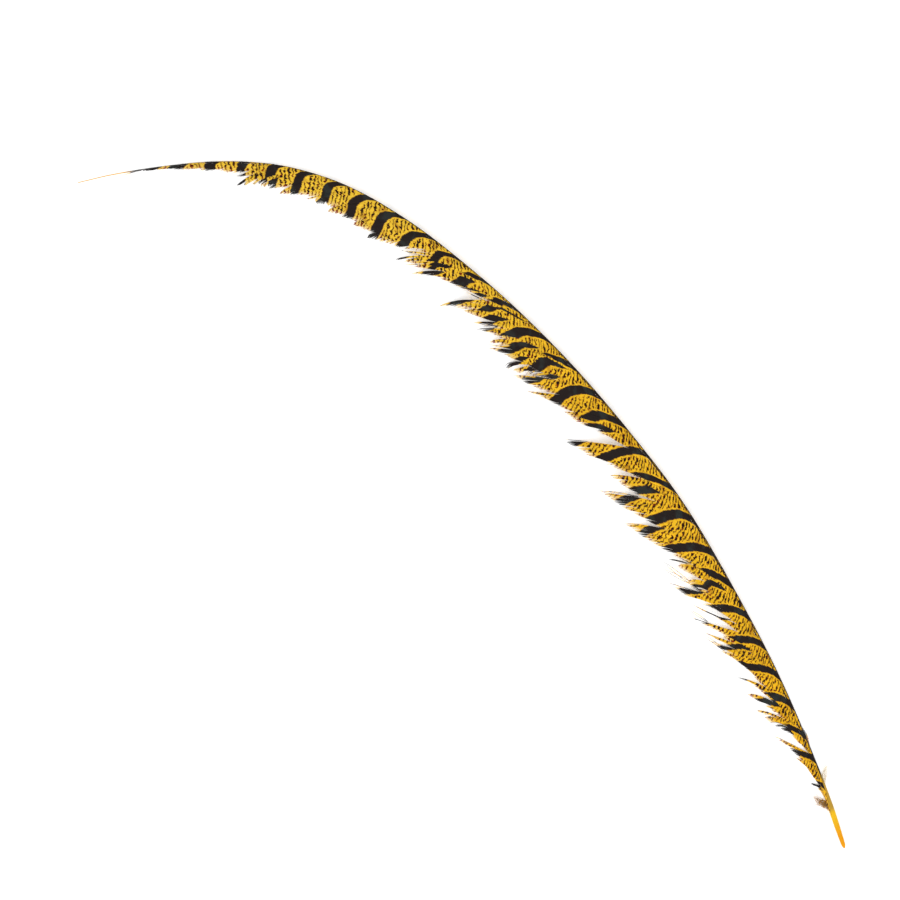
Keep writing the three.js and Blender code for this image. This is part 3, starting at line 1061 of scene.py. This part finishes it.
@dataclass
class WideVane:
    """The wide vane on the inner side of the bow, split into ragged locks.

    Each lock is its outer edge, from the notch that parts it from the lock before it to its own
    tip. Its barbs leave the shaft side by side, and past the notch they turn to meet the edge.
    `pinch`, read where a lock starts, is how far its last barbs draw away from the next lock.
    """

    line: ShaftLine
    markings: Markings
    course: BarbCourse
    locks: tuple[Points, ...] = (
        ((25, 0.5), (30, 4.5), (34, 7)),
        ((34, 1.5), (42, 3), (50, 8)),
        ((46, 2.5), (62, 6.5), (71, 11.5)),
        ((66, 7), (81, 13.5), (90, 19)),
        ((70, 1.5), (87, 8), (98, 17), (113, 23.5)),
        ((99, 8.5), (115, 18), (129, 26.5)),
        ((113, 10.5), (131, 18), (140, 26)),
        ((127, 12.5), (140, 16), (152, 21.5), (162, 27.5)),
        ((157, 22), (164, 27), (172, 30.5)),
        ((159, 18.5), (168, 24.5), (184, 34.5)),
        ((165.5, 19), (169, 20.5), (172, 21.5)),
        ((170.5, 19.5), (176, 23), (182, 27.5), (194, 34.5)),
        ((170, 11.7), (178, 15), (186, 20), (207, 33)),
        ((178, 10.5), (190, 17), (205, 28.5), (223, 37)),
        ((206, 21), (211, 23), (217, 25)),
        ((210, 13.5), (225, 23), (238, 28)),
        ((227, 17), (246, 28), (260, 34.5), (278, 40.5)),
        ((260, 22), (278, 30), (288, 34.5), (306, 40)),
        ((279, 15), (290, 21.5), (305, 27)),
        ((298, 23.5), (306, 26.5), (314, 29)),
        ((298, 13.5), (310, 19.5), (321, 26)),
        ((317, 21.5), (322, 24.5), (328, 28.5)),
        ((322, 24), (330, 29.5), (339, 34.5)),
        ((334, 30.5), (342, 34), (354, 38)),
        ((321, 7.5), (335, 12.5), (357, 22.5), (369, 24.5)),
        ((365, 21), (370, 23), (374, 25.5)),
        ((371, 23.5), (386, 29), (399, 35)),
        ((381, 20.5), (392, 26.5), (403, 31), (413, 33)),
        ((391, 15.5), (403, 25.5), (414, 30), (423, 33.5)),
        ((418, 24.5), (427, 27), (441, 32.5)),
        ((425, 20), (435, 26.5), (445, 33)),
        ((431, 22), (438, 26), (444, 29)),
        ((436, 20), (443, 22), (456, 28)),
        ((441, 15), (452, 22), (463, 27.5)),
        ((448, 15), (456, 19), (465, 22.5), (478, 26.5)),
        ((466, 18.5), (482, 28), (488.5, 34)),
        ((462, 8), (485, 14), (503, 18.5), (518, 27.5)),
        ((503, 14), (516, 21), (526, 25.5)),
        ((514, 16.5), (521, 21), (535, 26.5)),
        ((515, 10.5), (525, 15.5), (534, 19)),
        ((516, 9), (535, 17), (552, 21.5), (562, 24.5)),
        ((558, 19), (570, 21), (577, 20.5)),
        ((573, 18), (579, 18.5), (586, 20.5)),
        ((583, 17.5), (590, 19.5), (598, 21)),
        ((594, 16.5), (602, 16.5), (610, 19)),
        ((609, 14.5), (613, 17), (618, 18)),
        ((610, 14), (620, 15.5), (630, 17.5), (638, 18.5)),
        ((629, 11.5), (638, 14.5), (646, 16)),
        ((642, 13), (648, 15), (652, 15.5)),
        ((650, 11.5), (655, 14), (660, 15)),
        ((657, 11.5), (663, 15), (671, 15.5)),
        ((659, 8), (664, 9), (670, 9)),
        ((661, 5.5), (670, 7.2), (683, 6)),
        ((680, 4.8), (690, 5.3), (698, 4.7)),
        ((694, 3.6), (705, 3.4), (716, 2.6)),
        ((712, 2.3), (722, 1.7), (737, 1.2)),
    )
    touch_down: Profile = Profile(
        (
            (20, 8), (50, 9), (90, 19), (130, 26.5), (185, 34), (222, 37), (278, 40), (309, 40),
            (354, 38), (399, 35), (445, 33), (488, 34), (535, 26.5), (562, 24.5), (600, 21),
            (638, 18.5), (671, 15.5), (700, 4.5), (783, 1),
        )
    )  # fmt: skip
    arch: float = 1.15
    lowest: float = 0.12
    lap: Profile = Profile(((27, -0.7), (37, 0), (60, 0.3), (75, 0.4)))
    lap_depth: float = 1.2
    clearance: float = 0.06
    shingle: float = 0.4
    spacing: float = 0.36
    rings: int = 14
    samples: int = 121
    pinch: Profile = Profile(
        (
            (34, 2.4), (46, 1.2), (60, 1), (66, 2.7), (70, 1.2), (99, 0.5), (127, 1), (157, 1),
            (165.5, 0), (170, 3.2), (171, 3), (178, 0.6), (227, 0.3), (260, 0.8), (298, 0.5),
            (322, 1), (334, 2.7), (345, 2.7), (365, 0.3), (380, 0), (500, 0.3), (516, 0),
        )
    )  # fmt: skip
    pinch_way: tuple[float, float] = (-0.64, 0.77)
    pinch_length: float = 20
    gentleness: float = 1.2
    least_cut: float = 0.25
    clump_starts: float = 0.14
    clump_pull: float = 0.45
    spare_length: float = 22
    spare_range: tuple[float, float] = (0.7, 1.3)
    overshoot: float = 3
    undershoot: float = 0.2
    shingle_reach: tuple[float, float] = (2, 14)
    sway: float = 0.12
    sway_reach: tuple[float, float] = (5, 25)
    looseness: float = 0.35
    loose_end: float = 6
    crowding: float = 1.3
    narrowest: float = 0.12
    widest: float = 0.44
    seed: int = 11

    def surface(self, along: np.ndarray, out: np.ndarray) -> np.ndarray:
        """Points of the vane's middle surface, in mm in the frame.

        The roots of the barbs lap over the top of the shaft, but for the ones next to the quill.

        Args:
            along: Places along the feather.
            out: Distances from the shaft.

        Returns:
            An array with one more axis than the arguments.
        """
        radius = self.line.radius.at(along)
        ridge = self.line.height(along)
        share = np.clip(out / self.touch_down.at(along), 0, 1)
        across = out - self.lap.at(along) * radius * np.exp(-out / self.lap_depth)
        sheet = self.lowest + (ridge - self.lowest) * (1 - share**self.arch)
        rod = ridge + np.sqrt(np.maximum(radius**2 - across**2, 0)) + self.clearance
        up = np.where(np.abs(across) < radius, np.maximum(sheet, rod), sheet)
        return self.line.place(along, across, up)

    def build(self, finish: bpy.types.Material) -> bpy.types.Object:
        """Builds the vane barb by barb.

        Args:
            finish: Material of the barbs.

        Returns:
            The finished piece.
        """
        barbs = self._barbs(np.random.default_rng(self.seed))
        return vane_piece("wide_vane", self, barbs, finish)

    def _barbs(self, rng: np.random.Generator) -> Barbs:
        """Lays out the barbs of all locks, in order from the quill to the tip."""
        notches = [lock[0][0] - float(self.course.run(lock[0][1])) for lock in self.locks]
        tip_along, tip_out = self.locks[-1][-1]
        notches.append(tip_along - float(self.course.run(tip_out)))
        depths = [float(self.course.length(lock[0][1])) for lock in self.locks] + [0.0]
        rows = []
        for number, edge in enumerate(self.locks):
            ends = slice(number, number + 2)
            rows.append(self._lock(edge, notches[ends], depths[ends], rng))
        columns = [np.concatenate(column) for column in zip(*rows)]
        along, out, lift, reach, half_width, luck = columns
        barbs = Barbs(along, out, lift, reach, half_width, 0.35 * half_width + 0.02, luck)
        return barbs.at_rings(self.markings.choose_rings(barbs, self.rings))

    def _lock(
        self, edge: Points, roots: list[float], depths: list[float], rng: np.random.Generator
    ) -> tuple[np.ndarray, ...]:
        """Lays out the barbs of one lock.

        Args:
            edge: The lock's outer edge.
            roots: Where its first and last barb leave the shaft.
            depths: How far along those barbs its two notches are.
            rng: Source of the random draws.

        Returns:
            The arrays of its finely sampled barbs: along, out, lift, reach, half width and luck.
        """
        count = max(int(abs(roots[1] - roots[0]) / self.spacing), 3)
        share = (np.arange(count) + 0.5) / count
        root = roots[0] + (roots[1] - roots[0]) * share
        end_along, end_out = self._ends(np.array(edge, float), self._gather(share, rng))
        full = self.course.length(end_out)
        length = full + self._spare(full, rng)
        reach = length[:, None] * np.linspace(0, 1, self.samples)[None]
        to_tip = length[:, None] - reach
        free_end_along, free_end_out = self.course.point(root, full)
        aside_along, aside_out = end_along - free_end_along, end_out - free_end_out
        parting = np.minimum(depths[0] + (depths[1] - depths[0]) * share, 0.9 * full)
        pull = self._pull(reach, full, parting, np.hypot(aside_along, aside_out))
        parted = np.clip((full - parting) / self.pinch_length, 0, 1) * share**4
        pinch = self.pinch.at(edge[0][0]) * parted[:, None]
        pinch = pinch * 4 * np.clip(pull, 0, 1) * np.clip(1 - pull, 0, 1)  # most halfway to the edge
        along, out = self.course.point(root[:, None], reach)
        along = along + aside_along[:, None] * pull**2 + self.pinch_way[0] * pinch
        out = out + aside_out[:, None] * pull**2 + self.pinch_way[1] * pinch
        lift = self._lifts(share, reach, to_tip, rng)
        half_width = self._half_widths(along, out, to_tip)
        return along, out, lift, reach, half_width, one_for_each(rng, reach)

    def _spare(self, full: np.ndarray, rng: np.random.Generator) -> np.ndarray:
        """How far each barb reaches past its lock's edge, or falls short of it.

        Args:
            full: Lengths of the barbs up to the edge.
            rng: Source of the random draws.

        Returns:
            One length for each barb.
        """
        count = len(full)
        spare = 0.5 * wander(rng, count, 9) + 0.3 * wander(rng, count, 3)
        spare = spare + rng.uniform(*self.spare_range, count)
        spare = spare * np.minimum(full / self.spare_length, 1)
        return np.clip(spare, -self.undershoot * full, self.overshoot)

    def _pull(
        self, reach: np.ndarray, full: np.ndarray, parting: np.ndarray, aside: np.ndarray
    ) -> np.ndarray:
        """How far the barbs of a lock have turned from the course that they would run freely.

        Args:
            reach: Distances from the root, with a row for each barb.
            full: Lengths of the barbs up to the lock's edge.
            parting: Where they part from the locks beside theirs.
            aside: How far from the end of its free course each of them ends.

        Returns:
            An array like `reach`: 0 up to where the turn starts, and 1 at the lock's edge.
        """
        gentle = np.maximum(full - self.gentleness * aside, 0.3 * full)
        start = np.minimum(parting, gentle)[:, None]
        return np.maximum((reach - start) / (full[:, None] - start), 0)

    def _lifts(
        self, share: np.ndarray, reach: np.ndarray, to_tip: np.ndarray, rng: np.random.Generator
    ) -> np.ndarray:
        """How far the barbs of a lock stand off the vane's middle surface.

        They lap like shingles, sway a little from barb to barb, and are loose at their ends.

        Args:
            share: Place of each barb in the lock, from 0 to 1.
            reach: Distances from the root, with a row for each barb.
            to_tip: Distances from the tip, with a row for each barb.
            rng: Source of the random draws.

        Returns:
            An array like `reach`.
        """
        count = len(share)
        lift = self.shingle * (1 - share)[:, None] * smoothstep(reach, *self.shingle_reach)
        sway = self.sway * wander(rng, count, 5)[:, None] * smoothstep(reach, *self.sway_reach)
        loose = rng.uniform(0, self.looseness, count)[:, None] * smoothstep(to_tip, self.loose_end, 0)
        return lift + sway + loose

    def _ends(self, edge: np.ndarray, share: np.ndarray) -> tuple[np.ndarray, np.ndarray]:
        """Where the barbs of a lock end. Few of them end where its edge runs the way they do.

        Args:
            edge: The lock's outer edge.
            share: Place of each barb's end among the others, from 0 to 1.

        Returns:
            Along and out of each barb's end.
        """
        steps = np.diff(edge, axis=0)
        angle = self.course.angle((edge[1:, 1] + edge[:-1, 1]) / 2)
        cut = steps[:, 0] * np.sin(angle) - steps[:, 1] * np.cos(angle)
        cut = np.maximum(cut, self.least_cut * np.linalg.norm(steps, axis=1))
        place = np.concatenate([[0], np.cumsum(cut)]) / cut.sum()
        return np.interp(share, place, edge[:, 0]), np.interp(share, place, edge[:, 1])

    def _gather(self, share: np.ndarray, rng: np.random.Generator) -> np.ndarray:
        """Draws the ends of the barbs together in small clumps.

        Args:
            share: Place of each barb in the lock, from 0 to 1.
            rng: Source of the random draws.

        Returns:
            Place of each barb's end among the others, from 0 to 1.
        """
        clump = np.cumsum(rng.uniform(0, 1, len(share)) < self.clump_starts)
        middle = np.array([share[clump == number].mean() for number in clump])
        return np.clip(share + (middle - share) * self.clump_pull, 0, 1)

    def _half_widths(self, along: np.ndarray, out: np.ndarray, to_tip: np.ndarray) -> np.ndarray:
        """Half the width of each blade: a little more than covers the gap to its neighbour.

        Args:
            along: Places along the feather, with a row for each barb.
            out: Distances from the shaft, with a row for each barb.
            to_tip: Distances from the tip, with a row for each barb.

        Returns:
            An array like these.
        """
        flat = np.stack([along, out], -1)
        way = unit(np.gradient(flat, axis=1))
        step = np.gradient(flat, axis=0)
        gap = np.abs(step[..., 0] * way[..., 1] - step[..., 1] * way[..., 0])
        half = np.clip(gap * self.crowding / 2, self.narrowest / 2, self.widest / 2)
        return tapered(half, smoothstep(to_tip / np.minimum(3.5, 0.22 * to_tip[:, :1]), 0, 1))


@dataclass
class NarrowVane:
    """The narrow vane on the outer side of the bow, folded steeply down beside the shaft.

    The fold is `fold_height` and `fold_side` radii above and beside the shaft's axis. A barb runs
    about `run` along the shaft while it goes down to the surface that the feather lies on.
    """

    line: ShaftLine
    markings: Markings
    course: BarbCourse
    starts: float = 44
    ends: float = 735
    lean: float = 0.9
    flare_place: float = 81
    flare_half_length: float = 10
    flare_lean: float = 2.6
    fold_height: float = 0.55
    fold_side: float = 0.3
    lowest: float = 0.05
    run: float = 12
    least_drop: float = 0.6
    spacing: float = 0.5
    cover: float = 0.62
    rings: int = 9
    seed: int = 23

    def surface(self, along: np.ndarray, out: np.ndarray) -> np.ndarray:
        """Points of the folded sheet, in mm in the frame.

        Args:
            along: Places along the feather.
            out: Distances down the sheet from its fold.

        Returns:
            An array with one more axis than the arguments.
        """
        radius = self.line.radius.at(along)
        ridge = self.line.height(along) + self.fold_height * radius
        share = np.clip(out / ridge, 0, 1)
        flare = 1 - smoothstep(np.abs(along - self.flare_place), 0, self.flare_half_length)
        lean = self.lean * np.minimum(1, ridge / 2) + self.flare_lean * flare
        belly = self.fold_side * radius + lean * share**0.8
        return self.line.place(along, -belly, np.maximum(ridge - out, self.lowest))

    def build(self, finish: bpy.types.Material) -> bpy.types.Object:
        """Builds the vane barb by barb.

        Args:
            finish: Material of the barbs.

        Returns:
            The finished piece.
        """
        rng = np.random.default_rng(self.seed)
        count = int((self.ends - self.starts) / self.spacing)
        root = np.linspace(self.starts, self.ends, count)
        drop = self.line.height(root + self.run) * (0.9 + 0.08 * wander(rng, count, 7))
        drop = np.maximum(drop + rng.uniform(-0.4, 0.1, count), self.least_drop)
        length = self.course.length(drop)
        reach = length[:, None] * np.linspace(0, 1, self.rings)[None]
        along, out = self.course.point(root[:, None], reach)
        angle = self.course.root_angle + self.course.bend * reach
        half_width = self.cover * self.spacing * np.sin(angle)
        half_width = tapered(half_width, smoothstep(length[:, None] - reach, 0, 3))
        lift = rng.uniform(-0.06, 0.1, count)[:, None] * smoothstep(reach, 0, 10)
        rise = 0.3 * half_width + 0.02
        barbs = Barbs(along, out, lift, reach, half_width, rise, one_for_each(rng, reach))
        return vane_piece("narrow_vane", self, barbs, finish, turned=True)


@dataclass
class StrayBarbs:
    """Single barbs that stand clear of the locks.

    Each strand is its place in the vane and its tip (along, out), and how many barbs it has.
    """

    vane: WideVane
    strands: tuple[tuple[float, float, float, float, int], ...] = (
        (207, 20, 239, 33, 2), (212, 21, 233, 35, 2), (185, 26, 199, 34, 2),
        (160, 25, 178, 33.5, 2), (288, 22, 309, 41, 4), (462, 9, 479, 13.5, 3),
        (515, 10.5, 534, 19, 3), (659, 8, 672, 10, 3), (738, 0.4, 751, 1.7, 2),
    )  # fmt: skip
    scatter: float = 0.8
    scatter_shares: tuple[float, ...] = (1, 0.4, 1, 0.5)
    bow: float = 0.05
    stand_off: float = 0.2
    rings: int = 9
    half_width: float = 0.16
    seed: int = 5

    def build(self, finish: bpy.types.Material) -> bpy.types.Object:
        """Builds the strands.

        Args:
            finish: Material of the barbs.

        Returns:
            The finished piece.
        """
        rng = np.random.default_rng(self.seed)
        starts = np.array([strand[:4] for strand in self.strands for _ in range(strand[4])], float)
        count = len(starts)
        starts = starts + rng.uniform(-self.scatter, self.scatter, starts.shape) * self.scatter_shares
        share = np.linspace(0, 1, self.rings)[None]
        span = starts[:, 2:] - starts[:, :2]
        bow = rng.uniform(-self.bow, self.bow, count)[:, None] * np.sin(math.pi * share)
        along = starts[:, :1] + span[:, :1] * share - span[:, 1:] * bow
        out = np.maximum(starts[:, 1:2] + span[:, 1:] * share + span[:, :1] * bow, 0.1)
        reach = np.linalg.norm(span, axis=1)[:, None] * share
        half_width = tapered(self.half_width, smoothstep(reach[:, -1:] - reach, 0, 8), 0.25)
        lift = np.full_like(reach, self.stand_off)
        rise = 0.5 * half_width
        barbs = Barbs(along, out, lift, reach, half_width, rise, one_for_each(rng, reach))
        return vane_piece("stray_barbs", self.vane, barbs, finish)


def vane_piece(
    name: str,
    vane: WideVane | NarrowVane,
    barbs: Barbs,
    finish: bpy.types.Material,
    turned: bool = False,
) -> bpy.types.Object:
    """Builds a vane's barbs on its surface, with the attributes that their finish reads.

    Args:
        name: Name of the piece.
        vane: The vane that the barbs belong to.
        barbs: The barbs.
        finish: Their material.
        turned: True if the vane's seen side is the one that faces the narrow side.

    Returns:
        The finished piece.
    """
    step = 0.05
    wards = vane.surface(barbs.along + step, barbs.out) - vane.surface(barbs.along - step, barbs.out)
    outwards = vane.surface(barbs.along, barbs.out + step) - vane.surface(barbs.along, barbs.out - step)
    facing = unit(np.cross(wards, outwards)) * (-1 if turned else 1)
    centres = vane.surface(barbs.along, barbs.out) + facing * barbs.lift[..., None]
    piece = blade_mesh(name, centres, facing, barbs)
    marks = vane.markings
    phase, half = marks.phase(barbs.marked_along, barbs.out)
    lines = marks.line_place(barbs.marked_along, barbs.out)
    give_attribute(piece, "markings", (lines, barbs.out, phase))
    give_attribute(piece, "strand", (half, barbs.to_tip, barbs.luck))
    dress(piece, finish)
    return piece


@dataclass
class DownTuft:
    """A tuft of downy strands beside the shaft, each a fine stem with shorter hairs on both sides.

    The stems leave the shaft between the two `roots`. They end round `tip` (along, out), up to
    `spread` from it, on the side of the wide vane or, where `side` is -1, of the narrow one.
    """

    line: ShaftLine
    name: str
    roots: tuple[float, float]
    tip: tuple[float, float]
    spread: tuple[float, float]
    count: int
    hairs: int
    seed: int
    side: int = 1
    rings: int = 9
    curl: float = 0.9
    loft: float = 2.2
    hair_places: tuple[float, float] = (0.12, 0.97)
    hair_length: float = 1.8
    hair_lengths: tuple[float, float] = (0.6, 1.1)
    hair_disorder: float = 0.35
    hair_droop: float = 0.35
    stem_width: float = 0.07
    hair_width: float = 0.035
    tapering: float = 0.75

    def build(self, finish: bpy.types.Material) -> bpy.types.Object:
        """Builds the tuft.

        Args:
            finish: Material of the down.

        Returns:
            The finished piece.
        """
        rng = np.random.default_rng(self.seed)
        stems = self._stems(rng)
        hairs = self._side_hairs(stems, rng)
        centres = np.concatenate([stems, hairs])
        share = np.linspace(0, 1, self.rings)[None] + np.zeros((len(centres), 1))
        widths = np.repeat([self.stem_width, self.hair_width], [len(stems), len(hairs)])
        half_width = widths[:, None] * (1 - self.tapering * share)
        luck = one_for_each(rng, share)
        zeros = np.zeros_like(share)
        barbs = Barbs(share, zeros, zeros, share, half_width, half_width, luck)
        facing = np.zeros_like(centres) + UPWARDS
        piece = blade_mesh(self.name, centres, facing, barbs)
        give_attribute(piece, "strand", (share, zeros, luck))
        dress(piece, finish)
        return piece

    def _stems(self, rng: np.random.Generator) -> np.ndarray:
        """The stems' points: from the shaft out to a loose bundle of tips."""
        share = np.linspace(0, 1, self.rings)[None]
        root = rng.uniform(*self.roots, self.count)[:, None]
        end_along = self.tip[0] + rng.uniform(-1, 1, self.count)[:, None] * self.spread[0]
        end_out = self.tip[1] + rng.uniform(-1, 1, self.count)[:, None] * self.spread[1]
        curl = rng.uniform(-self.curl, self.curl, self.count)[:, None] * np.sin(math.pi * share)
        along = root + (end_along - root) * share**1.1 + curl
        out = self.side * np.maximum(end_out * share**1.3 + 0.4 * curl, 0.3)
        high = self.line.height(root) * (1 - share) ** 1.5
        loft = rng.uniform(0, self.loft, self.count)[:, None] * np.sin(math.pi * share) ** 1.5
        return self.line.place(along, out, high + 0.3 + loft)

    def _side_hairs(self, stems: np.ndarray, rng: np.random.Generator) -> np.ndarray:
        """The shorter hairs' points: fanned out along both sides of every stem."""
        share = np.linspace(0, 1, self.rings)
        place = np.tile(np.linspace(*self.hair_places, self.hairs), (len(stems), 1))
        place = np.clip(place + rng.uniform(-0.03, 0.03, place.shape), 0, 1)
        slopes = np.gradient(stems, axis=1)
        base = np.array([on_line(at, share, stem) for at, stem in zip(place, stems)])
        way = unit(np.array([on_line(at, share, slope) for at, slope in zip(place, slopes)]))
        across = unit(np.cross(way, UPWARDS))
        hand = np.where(np.arange(self.hairs) % 2, 1.0, -1.0)[None, :, None]
        disorder = rng.uniform(-self.hair_disorder, self.hair_disorder, base.shape)
        lean = unit(way * 0.75 + across * hand * 0.8 + disorder)
        length = self.hair_length * (1 - 0.55 * place) * rng.uniform(*self.hair_lengths, place.shape)
        curve = share[None, None, :, None]
        ends = lean * length[..., None]
        droop = way * length[..., None] * self.hair_droop
        points = base[:, :, None] + ends[:, :, None] * curve + droop[:, :, None] * curve**2
        points[..., 2] = np.maximum(points[..., 2], LOWEST_HAIR)
        return points.reshape(-1, self.rings, 3)


# ---------------------------------------------------------------- stage


@dataclass
class Studio:
    """The pale floor, the soft lights and the camera, which looks straight down."""

    view_width: float = 630
    view_middle: tuple[float, float] = (35.5, 37.8)
    right: tuple[float, float, float] = (-0.7549239, -0.6558124, 0.0)
    up: tuple[float, float, float] = (0.6558124, -0.7549239, 0.0)
    lens: float = 100
    sensor: float = 36
    floor_colour: str = "FAFAFA"
    floor_glow: float = 0.3
    floor_size: float = 12.0
    sky_strength: float = 0.92
    key_place: tuple[float, float, float] = (-0.7, 0.9, 1.7)
    key_turn: tuple[float, float, float] = (math.radians(-28), math.radians(-22), 0)
    key_size: float = 1.6
    key_energy: float = 14

    def build(self) -> None:
        """Makes the floor, the lights and the camera."""
        self._floor()
        self._lights()
        self._camera()

    def _floor(self) -> None:
        """A wide, plain floor."""
        bpy.ops.object.select_all(action="DESELECT")
        bpy.ops.mesh.primitive_plane_add(size=self.floor_size, location=(0, 0, 0))
        floor = bpy.context.object
        floor.name = "floor"
        material, graph, shader = new_material("pale_floor")
        inputs = {
            "Base Color": colour(self.floor_colour),
            "Roughness": 0.9,
            "Specular IOR Level": 0.0,
            "Emission Color": colour(self.floor_colour),
            "Emission Strength": self.floor_glow,
        }
        graph.feed_all(shader, inputs)
        floor.data.materials.append(material)

    def _lights(self) -> None:
        """A bright sky all round and one large soft light from above."""
        world = bpy.data.worlds.new("studio_sky")
        world.use_nodes = True
        background = world.node_tree.nodes["Background"]
        background.inputs["Color"].default_value = (1, 1, 1, 1)
        background.inputs["Strength"].default_value = self.sky_strength
        bpy.context.scene.world = world
        bpy.ops.object.light_add(type="AREA", location=self.key_place)
        light = bpy.context.object
        light.name = "soft_key"
        light.data.shape = "DISK"
        light.data.size = self.key_size
        light.data.energy = self.key_energy
        light.rotation_euler = self.key_turn

    def _camera(self) -> None:
        """A long lens straight over the feather."""
        distance = self.lens / self.sensor * self.view_width * MM
        bpy.ops.object.camera_add(location=(self.view_middle[0] * MM, self.view_middle[1] * MM, distance))
        camera = bpy.context.object
        camera.name = "camera"
        camera.data.lens = self.lens
        camera.data.sensor_width = self.sensor
        x, y = np.array(self.right), np.array(self.up)
        z = np.cross(x, y)
        turn = Matrix((x, y, z)).transposed().to_4x4()
        camera.matrix_world = Matrix.Translation(camera.location) @ turn
        bpy.context.scene.camera = camera
        bpy.context.scene.view_settings.view_transform = "Standard"


def report(piece: bpy.types.Object) -> None:
    """Logs a finished piece and its number of triangles."""
    piece.data.calc_loop_triangles()
    LOG.info("%s: %d triangles", piece.name, len(piece.data.loop_triangles))


def main() -> None:
    """Builds the feather and its stage."""
    logging.basicConfig(level=logging.INFO, format="%(name)s: %(message)s")
    studio = Studio()
    studio.build()
    effects = Effects()
    line = ShaftLine()
    markings = Markings()
    course = BarbCourse()
    barred = BarredBarbs().make(effects)
    shaft = Shaft(line).build(Keratin().make(effects))
    wide = WideVane(line, markings, course)
    wide_vane = wide.build(barred)
    narrow_vane = NarrowVane(line, markings, course).build(barred)
    strays = StrayBarbs(wide).build(barred)
    brown_down = Down("brown_down", "4E2E08", "CC9A54").make(effects)
    pale_down = Down("pale_down", "B89A5A", "E4D6B4").make(effects)
    tuft = DownTuft(
        line, "down_tuft", roots=(25.5, 30.5), tip=(37, 8.4), spread=(4.2, 2.2), count=44, hairs=20, seed=3
    )
    wisp = DownTuft(
        line, "pale_wisp", roots=(40, 50), tip=(56, 7.5), spread=(3, 2), count=14, hairs=22, seed=4, side=-1
    )
    down = (tuft.build(brown_down), wisp.build(pale_down))
    pieces = (shaft, wide_vane, narrow_vane, strays, *down)
    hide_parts(NODE)
    for piece in pieces:
        report(piece)


if __name__ == "__main__":
    main()
